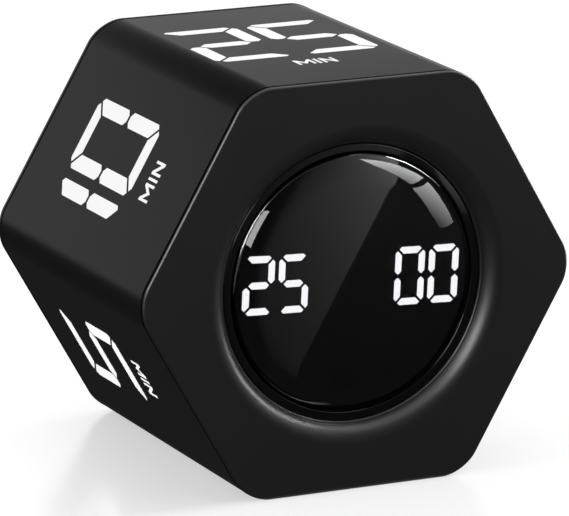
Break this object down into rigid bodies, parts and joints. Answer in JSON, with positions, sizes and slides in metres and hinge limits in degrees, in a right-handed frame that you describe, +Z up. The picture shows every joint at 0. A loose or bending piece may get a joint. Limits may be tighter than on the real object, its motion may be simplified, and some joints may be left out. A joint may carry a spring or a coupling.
{
  "type": "flip timer",
  "caption": "Six-sided desk timer that starts a countdown by the side turned up, with a round lit window in front, numerals on its sides, and a button, slide knob and charging socket behind.",
  "frame": {"origin": "middle of the bottom side, on the surface that the timer stands on", "axes": "+Z up, -Y out of the front window, +X to the right as seen from the front"},
  "size_m": [0.0662, 0.052, 0.059],
  "materials": {
    "shell_plastic": "fine moulded matte",
    "cover_plastic": "fine moulded matte",
    "print_white": "matte white",
    "smoked_lens": "polished, smoked",
    "gloss_black": "polished",
    "adhesive": "matte",
    "housing_black": "matte",
    "lit_white": "lit diffuser",
    "dark_diffuser": "unlit diffuser",
    "light_chip": "phosphor",
    "board_green": "solder mask",
    "chip_epoxy": "moulded epoxy",
    "screw_steel": "plated",
    "socket_ivory": "moulded",
    "ribbon_film": "film",
    "capacitor_tan": "ceramic",
    "buzzer_black": "moulded",
    "foam_grey": "foam",
    "socket_steel": "drawn steel",
    "tongue_black": "moulded",
    "control_plastic": "moulded matte",
    "switch_plastic": "moulded",
    "switch_steel": "plated",
    "plunger_red": "moulded",
    "cell_foil": "laminated foil",
    "lead_red": "insulation",
    "lead_black": "insulation",
    "motor_steel": "drawn steel",
    "holder_rubber": "moulded rubber",
    "weight_metal": "sintered"
  },
  "bodies": {
    "case": {"hex_shell": "shell_plastic", "front_cover": "cover_plastic", "rear_cover": "cover_plastic", "cover_screws": "screw_steel", "numerals_top": "print_white", "numerals_upper_left": "print_white", "numerals_lower_left": "print_white", "numerals_bottom": "print_white", "numerals_lower_right": "print_white", "numerals_upper_right": "print_white", "lens": "smoked_lens", "lens_ring": "gloss_black", "lens_adhesive": "adhesive", "display_housing": "housing_black", "segments_minutes": "lit_white", "segments_seconds": "lit_white", "segments_unlit": "dark_diffuser", "segment_leds": "light_chip", "display_board": "board_green", "display_screws": "screw_steel", "display_driver": "chip_epoxy", "ribbon_socket_front": "socket_ivory", "ribbon_cable": "ribbon_film", "ribbon_socket_rear": "socket_ivory", "main_board": "board_green", "main_board_screws": "screw_steel", "controller_chip": "chip_epoxy", "tilt_sensor": "chip_epoxy", "charger_chip": "chip_epoxy", "capacitors": "capacitor_tan", "buzzer": "buzzer_black", "buzzer_ring": "foam_grey", "charging_socket": "socket_steel", "charging_tongue": "tongue_black", "button_switch": "switch_plastic", "slide_switch": "switch_steel", "battery_cell": "cell_foil", "battery_pad": "foam_grey", "lead_positive": "lead_red", "lead_negative": "lead_black", "motor_can": "motor_steel", "motor_holder": "holder_rubber"},
    "button": {"push_button": "control_plastic"},
    "plunger": {"button_plunger": "plunger_red"},
    "slide": {"slide_knob": "control_plastic", "slide_lever": "tongue_black"},
    "vibration_weight": {"motor_shaft": "motor_steel", "motor_weight": "weight_metal"}
  },
  "joints": [
    {"name": "button_press", "type": "slide", "parent": "case", "child": "button", "axis": [0, -1, 0], "range_m": [0, 0.0004], "stiffness_N_per_m": 400, "springref_m": -0.0005},
    {"name": "plunger_press", "type": "slide", "parent": "case", "child": "plunger", "axis": [0, -1, 0], "range_m": [0, 0.0004]},
    {"name": "knob_slide", "type": "slide", "parent": "case", "child": "slide", "axis": [1, 0, 0], "range_m": [-0.002, 0.002]},
    {"name": "weight_spin", "type": "hinge", "parent": "case", "child": "vibration_weight", "pos_m": [0.016, 0.013, 0.0315], "axis": [1, 0, 0], "continuous": true}
  ],
  "couplings": [
    {"joint": "plunger_press", "follows": "button_press", "ratio": 1}
  ]
}
